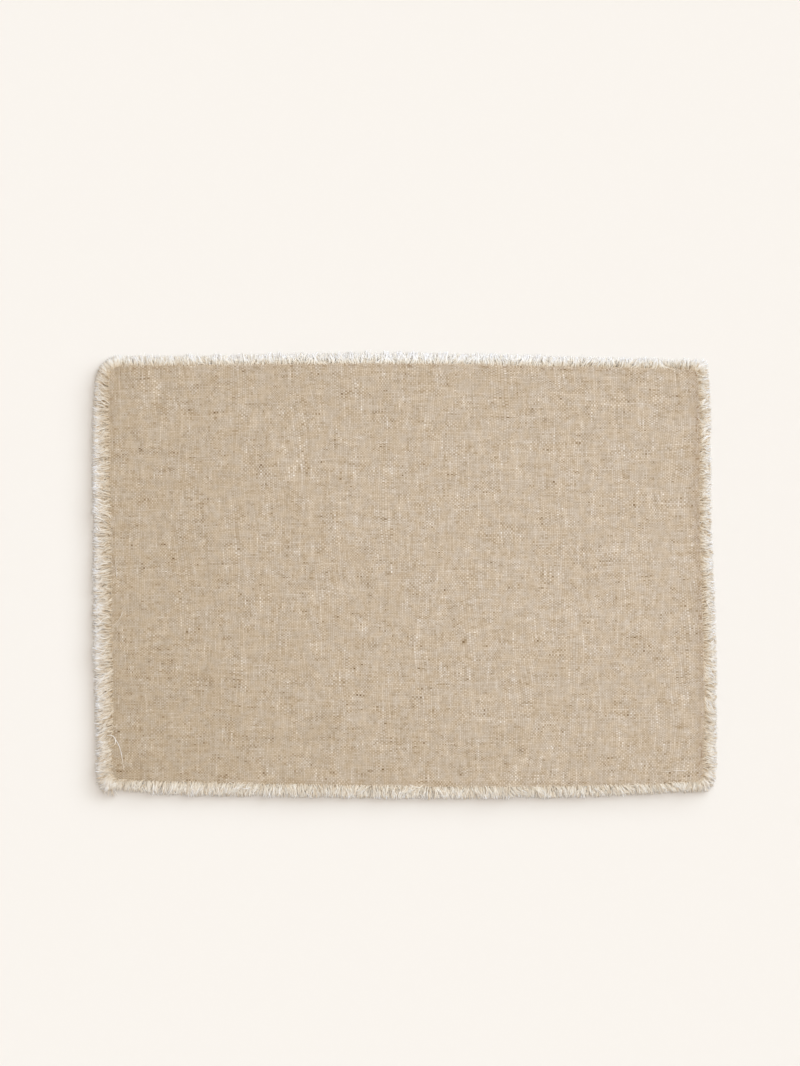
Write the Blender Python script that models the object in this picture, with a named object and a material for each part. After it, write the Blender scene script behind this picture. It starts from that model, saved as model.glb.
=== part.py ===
"""A fabric placemat lying flat: one woven cloth whose four cut edges are frayed into a short fringe.

Lengths are in metres. +X runs along the long side, +Y towards the back edge and +Z up. The underside
lies on z = 0, with the middle of the whole mat, fringe included, over the origin.
"""

import math
import random
from collections import namedtuple

import bmesh
import bpy
from mathutils import Matrix, Vector

MM = 0.001

# The woven cloth, without its fringe.
CLOTH_LENGTH = 473 * MM
CLOTH_DEPTH = 336 * MM
CLOTH_THICKNESS = 1.8 * MM
CLOTH_EDGE_ROUNDING = 0.5 * MM
CORNER_STEPS = 6
CORNER_RADIUS = {
    "front_left": 6.0 * MM,
    "front_right": 5.0 * MM,
    "back_left": 10.0 * MM,
    "back_right": 4.5 * MM,
}

# The cloth lies a little thicker and thinner along two slow, crossing waves.
LIE_CELL = 21 * MM
LIE_HEIGHT = 0.12 * MM
LIE_WAVE_X = 150 * MM
LIE_WAVE_Y = 115 * MM
LIE_SLANT = 0.35

# The fringe: a narrow strip parted from the cloth's edge, with the locks of loose yarn ends on it.
STRIP_GAP = 0.35 * MM
STRIP_WIDTH = 1.5 * MM
STRIP_HEIGHT = 1.3 * MM
STRIP_END_GAP = 0.4 * MM
LOCK_ROOT = STRIP_GAP + STRIP_WIDTH
LOCK_HALFWAY = 0.55
LOCK_HALFWAY_HEIGHT = 1.2 * MM
LOCK_TIP_HEIGHT = 0.7 * MM
LENGTH_SPREAD = 0.18
LEAN_SPREAD = math.radians(4.5)
BEND_SPREAD = math.radians(7.0)
SEED = 20

# How far apart the locks stand, and how wide each is at its root, halfway and at its tip. Those that
# fan out round a corner are close and narrow at the root and spread on the way out.
LockForm = namedtuple("LockForm", "pitch root halfway tip")
EDGE_LOCK = LockForm(6.0 * MM, 4.4 * MM, 3.7 * MM, 2.2 * MM)
CORNER_LOCK = LockForm(2.6 * MM, 1.7 * MM, 2.3 * MM, 1.7 * MM)

# How each cut edge really runs. A row stands at a share of the way along its edge, from the left
# or the front. stray_mm is how far the edge lies outside the true rectangle there, fringe_mm how
# far the fringe reaches beyond the cloth, and lean_deg how far its locks lean towards the far end.
EdgeRow = namedtuple("EdgeRow", "share stray_mm fringe_mm lean_deg")
BACK_ROWS = (
    EdgeRow(0.00, -0.9, 7.8, -18),
    EdgeRow(0.10, -0.4, 7.8, -20),
    EdgeRow(0.24, 0.3, 8.0, -12),
    EdgeRow(0.41, 1.1, 8.4, -5),
    EdgeRow(0.58, 0.7, 8.4, 3),
    EdgeRow(0.75, -0.5, 8.0, 10),
    EdgeRow(0.91, -1.3, 7.8, 24),
    EdgeRow(1.00, -2.2, 7.8, 20),
)
FRONT_ROWS = (
    EdgeRow(0.00, -4.2, 9.5, -14),
    EdgeRow(0.09, -2.7, 10.2, -20),
    EdgeRow(0.24, -0.7, 10.6, -12),
    EdgeRow(0.41, 0.9, 10.8, -4),
    EdgeRow(0.58, 1.7, 10.6, 12),
    EdgeRow(0.75, 1.3, 10.4, 18),
    EdgeRow(0.91, -0.3, 10.2, 20),
    EdgeRow(1.00, -2.9, 9.5, 14),
)
LEFT_ROWS = (
    EdgeRow(0.00, -0.8, 10.8, -20),
    EdgeRow(0.18, -1.2, 11.4, -16),
    EdgeRow(0.33, -0.8, 11.8, -8),
    EdgeRow(0.47, 0.0, 12.0, -3),
    EdgeRow(0.61, 0.4, 12.0, 2),
    EdgeRow(0.76, 1.2, 12.0, 4),
    EdgeRow(0.90, 2.0, 11.6, 6),
    EdgeRow(1.00, 2.2, 10.5, 8),
)
RIGHT_ROWS = (
    EdgeRow(0.00, 0.2, 9.2, -16),
    EdgeRow(0.18, 2.0, 9.4, -12),
    EdgeRow(0.33, 1.4, 9.4, -6),
    EdgeRow(0.47, -0.2, 9.2, 0),
    EdgeRow(0.61, -1.6, 8.8, 3),
    EdgeRow(0.76, -1.8, 8.4, 6),
    EdgeRow(0.90, -2.0, 8.4, 10),
    EdgeRow(1.00, -3.6, 8.2, 14),
)

# A side of the rectangle: the way out of the cloth, the way along it, half its run, how far it lies
# from the middle, its rows, and the corner radii at its near and far ends.
Side = namedtuple("Side", "name outward onward half_run reach rows near_radius far_radius")
HALF_LENGTH = CLOTH_LENGTH / 2
HALF_DEPTH = CLOTH_DEPTH / 2
BACK = Side("fringe_back", Vector((0, 1)), Vector((1, 0)), HALF_LENGTH, HALF_DEPTH, BACK_ROWS,
            CORNER_RADIUS["back_left"], CORNER_RADIUS["back_right"])
FRONT = Side("fringe_front", Vector((0, -1)), Vector((1, 0)), HALF_LENGTH, HALF_DEPTH, FRONT_ROWS,
             CORNER_RADIUS["front_left"], CORNER_RADIUS["front_right"])
LEFT = Side("fringe_left", Vector((-1, 0)), Vector((0, 1)), HALF_DEPTH, HALF_LENGTH, LEFT_ROWS,
            CORNER_RADIUS["front_left"], CORNER_RADIUS["back_left"])
RIGHT = Side("fringe_right", Vector((1, 0)), Vector((0, 1)), HALF_DEPTH, HALF_LENGTH, RIGHT_ROWS,
             CORNER_RADIUS["front_right"], CORNER_RADIUS["back_right"])

CLOTH_COLOUR = (0.571, 0.470, 0.352, 1.0)
FRINGE_COLOUR = (0.708, 0.638, 0.533, 1.0)
FABRIC_ROUGHNESS = 0.95


def clear_scene():
    for old in list(bpy.data.objects):
        bpy.data.objects.remove(old)


def make_collection(name):
    collection = bpy.data.collections.new(name)
    bpy.context.scene.collection.children.link(collection)
    return collection


def make_fabric(name, colour):
    material = bpy.data.materials.new(name)
    material.use_nodes = True
    shader = material.node_tree.nodes["Principled BSDF"]
    shader.inputs["Base Color"].default_value = colour
    shader.inputs["Roughness"].default_value = FABRIC_ROUGHNESS
    shader.inputs["Metallic"].default_value = 0.0
    return material


def along(rows, share, column):
    """A column's value at a share of the way along an edge, on a smooth curve through its rows."""
    share = min(max(share, rows[0].share), rows[-1].share)
    last = len(rows) - 1
    left = max(i for i in range(last) if rows[i].share <= share)

    def slope(i):
        before, after = rows[max(i - 1, 0)], rows[min(i + 1, last)]
        return (getattr(after, column) - getattr(before, column)) / (after.share - before.share)

    start, end = rows[left], rows[left + 1]
    span = end.share - start.share
    t = (share - start.share) / span
    return (
        (2 * t**3 - 3 * t**2 + 1) * getattr(start, column)
        + (t**3 - 2 * t**2 + t) * span * slope(left)
        + (3 * t**2 - 2 * t**3) * getattr(end, column)
        + (t**3 - t**2) * span * slope(left + 1)
    )


def share_of(distance, half_run):
    return (distance / half_run + 1) / 2


def lay_askew(point):
    """Moves a point of the true rectangle to where the hand-cut cloth has it."""
    across = share_of(point.x, HALF_LENGTH)
    up = share_of(point.y, HALF_DEPTH)
    left = -along(LEFT_ROWS, up, "stray_mm")
    right = along(RIGHT_ROWS, up, "stray_mm")
    front = -along(FRONT_ROWS, across, "stray_mm")
    back = along(BACK_ROWS, across, "stray_mm")
    to_right = min(max(across, 0), 1)
    to_back = min(max(up, 0), 1)
    point.x += MM * (left + (right - left) * to_right)
    point.y += MM * (front + (back - front) * to_back)


def lie(x, y):
    """How far the cloth's upper face stands above or below its mean height."""
    first = math.sin(2 * math.pi * (x + LIE_SLANT * y) / LIE_WAVE_X)
    second = math.sin(2 * math.pi * (y - LIE_SLANT * x) / LIE_WAVE_Y)
    return LIE_HEIGHT * (first + second) / 2


def finish_object(mesh, name, material, collection):
    for vertex in mesh.verts:
        lay_askew(vertex.co)
    bmesh.ops.recalc_face_normals(mesh, faces=mesh.faces)
    data = bpy.data.meshes.new(name)
    mesh.to_mesh(data)
    mesh.free()
    data.materials.append(material)
    data.shade_smooth()
    data.set_sharp_from_angle(angle=math.radians(40))
    piece = bpy.data.objects.new(name, data)
    collection.objects.link(piece)
    return piece


def round_corners(mesh):
    for name, radius in CORNER_RADIUS.items():
        end_y, end_x = name.split("_")
        corner = Vector((
            HALF_LENGTH if end_x == "right" else -HALF_LENGTH,
            HALF_DEPTH if end_y == "back" else -HALF_DEPTH,
            0,
        ))
        nearest = min(mesh.verts, key=lambda vertex: (vertex.co - corner).length)
        bmesh.ops.bevel(mesh, geom=[nearest], offset=radius, segments=CORNER_STEPS,
                        profile=0.5, affect="VERTICES")


def cut_into_cells(mesh, normal, half_run):
    """Cuts the flat sheet across into even cells, so that it can follow its bowed edges."""
    cells = round(2 * half_run / LIE_CELL)
    for cut in range(1, cells):
        place = normal * (2 * half_run * cut / cells - half_run)
        bmesh.ops.bisect_plane(mesh, geom=mesh.verts[:] + mesh.edges[:] + mesh.faces[:],
                               plane_co=place, plane_no=normal)


def make_cloth(material, collection):
    mesh = bmesh.new()
    bmesh.ops.create_grid(mesh, x_segments=1, y_segments=1, size=0.5)
    bmesh.ops.scale(mesh, vec=(CLOTH_LENGTH, CLOTH_DEPTH, 1), verts=mesh.verts)
    round_corners(mesh)
    cut_into_cells(mesh, Vector((1, 0, 0)), HALF_LENGTH)
    cut_into_cells(mesh, Vector((0, 1, 0)), HALF_DEPTH)
    raised = bmesh.ops.extrude_face_region(mesh, geom=mesh.faces[:])["geom"]
    upper = [item for item in raised if isinstance(item, bmesh.types.BMVert)]
    bmesh.ops.translate(mesh, vec=(0, 0, CLOTH_THICKNESS), verts=upper)
    mesh.normal_update()
    rim = [edge for edge in mesh.edges
           if min(vertex.co.z for vertex in edge.verts) > CLOTH_THICKNESS / 2
           and any(abs(face.normal.z) < 0.5 for face in edge.link_faces)]
    bmesh.ops.bevel(mesh, geom=rim, offset=CLOTH_EDGE_ROUNDING, segments=1, profile=0.5,
                    affect="EDGES")
    for vertex in mesh.verts:
        if vertex.co.z > CLOTH_THICKNESS / 2:
            vertex.co.z += lie(vertex.co.x, vertex.co.y)
    return finish_object(mesh, "cloth", material, collection)


def on_edge(side, distance, out):
    """The point a distance along a side's edge from its middle and out from it, with the ways outward
    and onward there. Past the straight stretch the edge turns round its corner's radius."""
    for way, radius in ((-1, side.near_radius), (1, side.far_radius)):
        straight = side.half_run - radius
        past = way * distance - straight
        if past > 0:
            turn = way * past / radius
            centre = side.onward * way * straight + side.outward * (side.reach - radius)
            outward = side.outward * math.cos(turn) + side.onward * math.sin(turn)
            onward = side.onward * math.cos(turn) - side.outward * math.sin(turn)
            return centre + outward * (radius + out), outward, onward
    return side.onward * distance + side.outward * (side.reach + out), side.outward, side.onward


# A lock's stretch of the strip, as distances along the edge, and its form.
Lock = namedtuple("Lock", "start end form")


def spread_locks(start, end, form):
    count = max(1, round((end - start) / form.pitch))
    step = (end - start) / count
    middles = [start + (place + 0.5) * step for place in range(count)]
    return [Lock(middle - form.root / 2, middle + form.root / 2, form) for middle in middles]


def make_strip(mesh, side, columns):
    """The closed strip along the side, with each vertex marked by its column and by its row."""
    column_mark = mesh.verts.layers.int.new("column")
    outer_mark = mesh.verts.layers.int.new("outer")
    cells = len(columns) - 1
    bmesh.ops.create_grid(mesh, x_segments=cells, y_segments=1, size=0.5)
    for vertex in mesh.verts:
        column = round((vertex.co.x + 0.5) * cells)
        outer = vertex.co.y > 0
        place, _, _ = on_edge(side, columns[column], LOCK_ROOT if outer else STRIP_GAP)
        vertex.co = place.to_3d()
        vertex[column_mark] = column
        vertex[outer_mark] = outer
    raised = bmesh.ops.extrude_face_region(mesh, geom=mesh.faces[:])["geom"]
    upper = [item for item in raised if isinstance(item, bmesh.types.BMVert)]
    bmesh.ops.translate(mesh, vec=(0, 0, STRIP_HEIGHT), verts=upper)
    return column_mark, outer_mark


def find_roots(mesh, column_mark, outer_mark):
    """The strip's outer faces that the locks grow from, in order: every second one, from column 1."""
    mesh.normal_update()
    roots = {}
    for face in mesh.faces:
        first = min(vertex[column_mark] for vertex in face.verts)
        on_outside = all(vertex[outer_mark] for vertex in face.verts)
        if on_outside and first % 2 == 1:
            roots[first] = face
    return [roots[first] for first in sorted(roots)]


def draw_out(mesh, face, middle, width, height):
    """Extrudes a lock's end face onwards, to a middle point on the floor, with a new width and height."""
    end = bmesh.ops.extrude_discrete_faces(mesh, faces=[face])["faces"][0]
    corners = sorted(end.verts, key=lambda vertex: vertex.co.z)
    for pair, level in ((corners[:2], 0), (corners[2:], height)):
        half = (pair[1].co - pair[0].co).normalized() * width / 2
        spot = middle.to_3d() + Vector((0, 0, level))
        pair[0].co = spot - half
        pair[1].co = spot + half
    return end


def grow_lock(mesh, side, lock, root_face, draw):
    """A lock lying level on the floor: it leans with its side's rows, bends a little and ends blunt."""
    middle = (lock.start + lock.end) / 2
    share = share_of(middle, side.half_run)
    reach = MM * along(side.rows, share, "fringe_mm") * (1 - LENGTH_SPREAD * draw.random())
    lean = math.radians(along(side.rows, share, "lean_deg")) + LEAN_SPREAD * draw.uniform(-1, 1)
    bend = BEND_SPREAD * draw.uniform(-1, 1)
    root, outward, onward = on_edge(side, middle, LOCK_ROOT)

    def onwards(start, angle, length):
        return start + (outward * math.cos(angle) + onward * math.sin(angle)) * length

    halfway = onwards(root, lean - bend, (reach - LOCK_ROOT) * LOCK_HALFWAY)
    tip = onwards(halfway, lean + bend, (reach - LOCK_ROOT) * (1 - LOCK_HALFWAY))
    middle_face = draw_out(mesh, root_face, halfway, lock.form.halfway, LOCK_HALFWAY_HEIGHT)
    draw_out(mesh, middle_face, tip, lock.form.tip, LOCK_TIP_HEIGHT)


def make_fringe(side, material, collection, draw):
    mesh = bmesh.new()
    near = side.near_radius - side.half_run
    far = side.half_run - side.far_radius
    near_end = near - side.near_radius * math.pi / 4 + STRIP_END_GAP
    far_end = far + side.far_radius * math.pi / 4 - STRIP_END_GAP
    locks = spread_locks(near_end, near, CORNER_LOCK)
    locks += spread_locks(near, far, EDGE_LOCK)
    locks += spread_locks(far, far_end, CORNER_LOCK)
    columns = [near_end] + [bound for lock in locks for bound in (lock.start, lock.end)] + [far_end]
    marks = make_strip(mesh, side, columns)
    for lock, root_face in zip(locks, find_roots(mesh, *marks)):
        grow_lock(mesh, side, lock, root_face, draw)
    return finish_object(mesh, side.name, material, collection)


def centre_on_origin(pieces):
    """Moves the whole mat so that the middle of its box, fringe included, is over the origin."""
    corners = [vertex.co for piece in pieces for vertex in piece.data.vertices]
    low = Vector(map(min, zip(*corners)))
    high = Vector(map(max, zip(*corners)))
    shift = -(low + high) / 2
    shift.z = 0
    for piece in pieces:
        piece.data.transform(Matrix.Translation(shift))


def main():
    clear_scene()
    collection = make_collection("placemat")
    draw = random.Random(SEED)
    cloth_fabric = make_fabric("woven cloth", CLOTH_COLOUR)
    fringe_yarn = make_fabric("frayed yarn", FRINGE_COLOUR)
    pieces = [make_cloth(cloth_fabric, collection)]
    for side in (BACK, FRONT, LEFT, RIGHT):
        pieces.append(make_fringe(side, fringe_yarn, collection, draw))
    centre_on_origin(pieces)


if __name__ == "__main__":
    main()
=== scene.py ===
"""A fabric placemat lying flat on a pale floor, seen from straight above.

One plain-woven cloth of mottled flax-coloured yarn, and four frayed edges of loose yarn ends. Lengths are
in metres, +X runs along the long side, +Y towards the back edge and +Z up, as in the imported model.
"""

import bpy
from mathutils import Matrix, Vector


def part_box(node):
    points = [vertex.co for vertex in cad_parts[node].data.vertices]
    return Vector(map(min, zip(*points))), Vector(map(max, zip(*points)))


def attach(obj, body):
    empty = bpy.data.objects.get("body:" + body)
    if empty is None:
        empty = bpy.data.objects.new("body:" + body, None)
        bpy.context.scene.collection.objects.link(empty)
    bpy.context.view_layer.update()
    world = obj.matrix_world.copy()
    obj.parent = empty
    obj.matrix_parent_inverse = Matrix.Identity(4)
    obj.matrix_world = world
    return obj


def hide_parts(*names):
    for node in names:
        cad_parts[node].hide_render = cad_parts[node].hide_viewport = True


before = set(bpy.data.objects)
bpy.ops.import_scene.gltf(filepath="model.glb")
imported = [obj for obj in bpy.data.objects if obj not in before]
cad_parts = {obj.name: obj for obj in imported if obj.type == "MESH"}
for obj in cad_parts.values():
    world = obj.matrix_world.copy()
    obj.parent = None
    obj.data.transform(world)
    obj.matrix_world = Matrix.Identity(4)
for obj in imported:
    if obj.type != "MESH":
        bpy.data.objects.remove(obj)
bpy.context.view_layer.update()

import logging  # noqa: E402
import math  # noqa: E402
from dataclasses import dataclass  # noqa: E402
from enum import Enum  # noqa: E402

import bmesh  # noqa: E402
import bpy  # noqa: E402
import numpy as np  # noqa: E402

Pair = tuple[float, float]
Triple = tuple[float, float, float]
Socket = bpy.types.NodeSocket
Value = Socket | float | tuple

MM = 0.001
TURN = 2 * math.pi
EIGHTH = TURN / 8
BODY = "root"
WEAVE_MAP = "Yarns"
BAKE_MAP = "OFBake"
MAP_MM = 100.0  # The millimetres of strand that its map counts as one.
FIRST_SEED = 31

log = logging.getLogger("placemat")


class Slot(Enum):
    """The record's two finishes."""

    CLOTH = "woven_cloth"
    YARN = "frayed_yarn"


class Edge(Enum):
    """The four cut edges, each by the name of its fringe."""

    BACK = "fringe_back"
    FRONT = "fringe_front"
    LEFT = "fringe_left"
    RIGHT = "fringe_right"


# --------------------------------------------------------------------------- the mat's plan


@dataclass(frozen=True)
class EdgeRow:
    """How a cut edge runs at one share of the way along it, from the left or the front."""

    share: float
    stray_mm: float
    fringe_mm: float
    lean_deg: float


BACK_ROWS = (
    EdgeRow(0.00, -0.9, 7.8, -18),
    EdgeRow(0.10, -0.4, 7.8, -20),
    EdgeRow(0.24, 0.3, 8.0, -12),
    EdgeRow(0.41, 1.1, 8.4, -5),
    EdgeRow(0.58, 0.7, 8.4, 3),
    EdgeRow(0.75, -1.0, 8.0, 10),
    EdgeRow(0.91, -2.6, 7.8, 24),
    EdgeRow(1.00, -3.8, 7.8, 20),
)
FRONT_ROWS = (
    EdgeRow(0.00, -4.2, 8.0, -14),
    EdgeRow(0.09, -2.7, 9.7, -20),
    EdgeRow(0.24, -0.7, 9.4, -12),
    EdgeRow(0.41, 0.9, 9.2, -4),
    EdgeRow(0.58, 1.7, 9.0, 12),
    EdgeRow(0.75, 1.3, 8.6, 18),
    EdgeRow(0.91, -0.3, 7.9, 20),
    EdgeRow(1.00, -2.9, 7.5, 14),
)
LEFT_ROWS = (
    EdgeRow(0.00, -0.8, 11.0, -20),
    EdgeRow(0.18, -1.2, 12.4, -16),
    EdgeRow(0.33, -0.8, 12.9, -8),
    EdgeRow(0.47, 0.0, 12.4, -3),
    EdgeRow(0.61, 0.4, 11.9, 2),
    EdgeRow(0.76, 1.2, 11.7, 4),
    EdgeRow(0.90, 2.0, 10.4, 6),
    EdgeRow(1.00, 2.2, 7.8, 8),
)
RIGHT_ROWS = (
    EdgeRow(0.00, 0.2, 10.6, -16),
    EdgeRow(0.18, 2.0, 9.6, -12),
    EdgeRow(0.33, 1.4, 9.4, -6),
    EdgeRow(0.47, -0.2, 9.2, 0),
    EdgeRow(0.61, -1.6, 8.8, 3),
    EdgeRow(0.76, -1.8, 8.4, 6),
    EdgeRow(0.90, -2.0, 8.4, 10),
    EdgeRow(1.00, -3.6, 8.2, 14),
)


@dataclass(frozen=True)
class Fray:
    """How much longer a fringe is round its near and far corners, and how uneven its yarns' lengths are."""

    near_stretch: float
    far_stretch: float
    ragged: float


FRAYS = {
    Edge.BACK: Fray(near_stretch=1.05, far_stretch=1.28, ragged=0.42),
    Edge.FRONT: Fray(near_stretch=1.10, far_stretch=0.95, ragged=0.22),
    Edge.LEFT: Fray(near_stretch=1.20, far_stretch=0.88, ragged=0.11),
    Edge.RIGHT: Fray(near_stretch=1.00, far_stretch=1.28, ragged=0.34),
}


def along(rows: tuple[EdgeRow, ...], share: np.ndarray, column: str) -> np.ndarray:
    """Reads a column of an edge's rows on a smooth curve through them.

    Args:
        rows: The edge's rows, in order.
        share: Shares of the way along the edge; those beyond its ends count as its ends.
        column: The column's name.

    Returns:
        The column's value at each share.
    """
    places = np.array([row.share for row in rows])
    values = np.array([getattr(row, column) for row in rows], float)
    before = np.r_[0, 0 : len(rows) - 1]
    after = np.r_[1 : len(rows), len(rows) - 1]
    slopes = (values[after] - values[before]) / (places[after] - places[before])
    share = np.clip(share, 0, 1)
    left = np.clip(np.searchsorted(places, share, side="right") - 1, 0, len(rows) - 2)
    span = places[left + 1] - places[left]
    t = (share - places[left]) / span
    return (
        (2 * t**3 - 3 * t**2 + 1) * values[left]
        + (t**3 - 2 * t**2 + t) * span * slopes[left]
        + (3 * t**2 - 2 * t**3) * values[left + 1]
        + (t**3 - t**2) * span * slopes[left + 1]
    )


@dataclass(frozen=True)
class CutEdge:
    """One cut edge of the true rectangle, with the yarns that come out of it.

    Places along it are distances from its middle. Its near corner is the one at the left or the front.
    """

    edge: Edge
    rows: tuple[EdgeRow, ...]
    outward: Pair
    onward: Pair
    half_run: float
    reach: float
    pitch: float
    near_radius: float
    far_radius: float

    @property
    def straight(self) -> Pair:
        """Where the straight stretch between the corners starts and ends."""
        return self.near_radius - self.half_run, self.half_run - self.far_radius

    @property
    def ends(self) -> Pair:
        """Where this edge's fringe starts and ends, halfway round both corners."""
        start, end = self.straight
        return start - self.near_radius * EIGHTH, end + self.far_radius * EIGHTH

    def read(self, distance: np.ndarray, column: str) -> np.ndarray:
        """Reads a column of the edge's rows at each distance."""
        return along(self.rows, (distance / self.half_run + 1) / 2, column)

    def stretch(self, distance: np.ndarray) -> np.ndarray:
        """How much longer the fringe is round a corner, where warp and weft ends reach out together.

        Args:
            distance: Places along the edge.

        Returns:
            The factor at each, 1 along the straight.
        """
        fray = FRAYS[self.edge]
        corners = ((-1, self.near_radius, fray.near_stretch), (1, self.far_radius, fray.far_stretch))
        longer = np.ones(len(distance))
        for way, radius, most in corners:
            turn = np.clip((way * distance - self.half_run + radius) / radius, 0, EIGHTH)
            longer += (most - 1) * np.sin(2 * turn) ** 2
        return longer

    def yarn_places(self, crowd: float) -> np.ndarray:
        """Where the yarns come out, in order along the edge.

        Args:
            crowd: How much closer they come round the corners, where warp and weft ends mix.

        Returns:
            Places along the edge.
        """
        (first, last), (start, end) = self.ends, self.straight
        stretches = (
            (first, start, self.pitch / crowd),
            (start, end, self.pitch),
            (end, last, self.pitch / crowd),
        )
        places = []
        for low, high, pitch in stretches:
            count = round((high - low) / pitch)
            places.append(low + (np.arange(count) + 0.5) / count * (high - low))
        return np.concatenate(places)

    def place(self, distance: np.ndarray, out: float) -> tuple[np.ndarray, np.ndarray, np.ndarray]:
        """Finds points by the edge; past the straight stretch it turns round its corner's radius.

        Args:
            distance: Places along the edge.
            out: How far out from the edge the points are.

        Returns:
            The points, the ways outward and the ways onward there, each as rows of x and y.
        """
        outward, onward = np.array(self.outward, float), np.array(self.onward, float)
        point = distance[:, None] * onward + (self.reach + out) * outward
        out_way = np.tile(outward, (len(distance), 1))
        on_way = np.tile(onward, (len(distance), 1))
        for way, radius in ((-1, self.near_radius), (1, self.far_radius)):
            straight = self.half_run - radius
            past = way * distance - straight
            turned = past > 0
            turn = (way * past / radius)[turned, None]
            centre = onward * way * straight + outward * (self.reach - radius)
            out_way[turned] = outward * np.cos(turn) + onward * np.sin(turn)
            on_way[turned] = onward * np.cos(turn) - outward * np.sin(turn)
            point[turned] = centre + out_way[turned] * (radius + out)
        return point, out_way, on_way


@dataclass(frozen=True)
class MatPlan:
    """The woven cloth's sizes as cut, and how its hand-cut edges stray from the true rectangle."""

    length: float = 473 * MM
    depth: float = 336 * MM
    thickness: float = 1.8 * MM
    warp_yarns: int = 343
    weft_yarns: int = 285
    front_left: float = 6.0 * MM
    front_right: float = 5.0 * MM
    back_left: float = 10.0 * MM
    back_right: float = 4.5 * MM
    lie_height: float = 0.12 * MM
    lie_wave_x: float = 150 * MM
    lie_wave_y: float = 115 * MM
    lie_slant: float = 0.35
    rim_points: int = 400

    @property
    def warp_pitch(self) -> float:
        """How far apart the yarns that run front to back lie."""
        return self.length / self.warp_yarns

    @property
    def weft_pitch(self) -> float:
        """How far apart the yarns that run left to right lie."""
        return self.depth / self.weft_yarns

    def cut_edges(self) -> list[CutEdge]:
        """Lays out the four cut edges.

        Returns:
            The edges, in the order of their fringes.
        """
        long_way = {"onward": (1, 0), "half_run": self.length / 2, "reach": self.depth / 2}
        short_way = {"onward": (0, 1), "half_run": self.depth / 2, "reach": self.length / 2}
        long_way["pitch"], short_way["pitch"] = self.warp_pitch, self.weft_pitch
        back, front = (self.back_left, self.back_right), (self.front_left, self.front_right)
        left, right = zip(front, back)
        return [
            CutEdge(edge, rows, outward, near_radius=near, far_radius=far, **way)
            for edge, rows, outward, (near, far), way in (
                (Edge.BACK, BACK_ROWS, (0, 1), back, long_way),
                (Edge.FRONT, FRONT_ROWS, (0, -1), front, long_way),
                (Edge.LEFT, LEFT_ROWS, (-1, 0), left, short_way),
                (Edge.RIGHT, RIGHT_ROWS, (1, 0), right, short_way),
            )
        ]

    def corners(self) -> list[tuple[int, int, float]]:
        """The four corners, each as its side in x, its side in y and its radius."""
        return [
            (-1, -1, self.front_left),
            (1, -1, self.front_right),
            (-1, 1, self.back_left),
            (1, 1, self.back_right),
        ]

    def askew(self, xy: np.ndarray) -> np.ndarray:
        """Moves points of the true rectangle to where the hand-cut cloth has them.

        Args:
            xy: Rows of x and y.

        Returns:
            The moved rows.
        """
        across = xy[:, 0] / self.length + 0.5
        up = xy[:, 1] / self.depth + 0.5
        left = -along(LEFT_ROWS, up, "stray_mm")
        right = along(RIGHT_ROWS, up, "stray_mm")
        front = -along(FRONT_ROWS, across, "stray_mm")
        back = along(BACK_ROWS, across, "stray_mm")
        moved = xy.copy()
        moved[:, 0] += MM * (left + (right - left) * np.clip(across, 0, 1))
        moved[:, 1] += MM * (front + (back - front) * np.clip(up, 0, 1))
        return moved

    def on_origin(self, xy: np.ndarray) -> np.ndarray:
        """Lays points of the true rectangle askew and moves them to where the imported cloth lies.

        Args:
            xy: Rows of x and y.

        Returns:
            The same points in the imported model's frame.
        """
        cuts = self.cut_edges()
        rim = np.vstack([cut.place(np.linspace(*cut.straight, self.rim_points), 0)[0] for cut in cuts])
        rim = self.askew(rim)
        low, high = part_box("cloth")
        middle = np.array([low.x + high.x, low.y + high.y]) / 2
        return self.askew(xy) + middle - (rim.min(0) + rim.max(0)) / 2

    def lie(self, xy: np.ndarray) -> np.ndarray:
        """How far the cloth's upper face stands above or below its mean height.

        Args:
            xy: Rows of x and y of the true rectangle.

        Returns:
            The height of each point.
        """
        x, y = xy[:, 0], xy[:, 1]
        first = np.sin(TURN * (x + self.lie_slant * y) / self.lie_wave_x)
        second = np.sin(TURN * (y - self.lie_slant * x) / self.lie_wave_y)
        return self.lie_height * (first + second) / 2


# --------------------------------------------------------------------------- finishes


def linear(red: float, green: float, blue: float) -> tuple[float, float, float, float]:
    """Turns a colour as seen on a screen, 0 to 255, into the linear light that materials use.

    Args:
        red: The red part.
        green: The green part.
        blue: The blue part.

    Returns:
        The linear colour, opaque.
    """
    parts = [part / 255 for part in (red, green, blue)]
    return (*(part / 12.92 if part <= 0.04045 else ((part + 0.055) / 1.055) ** 2.4 for part in parts), 1.0)


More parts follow.
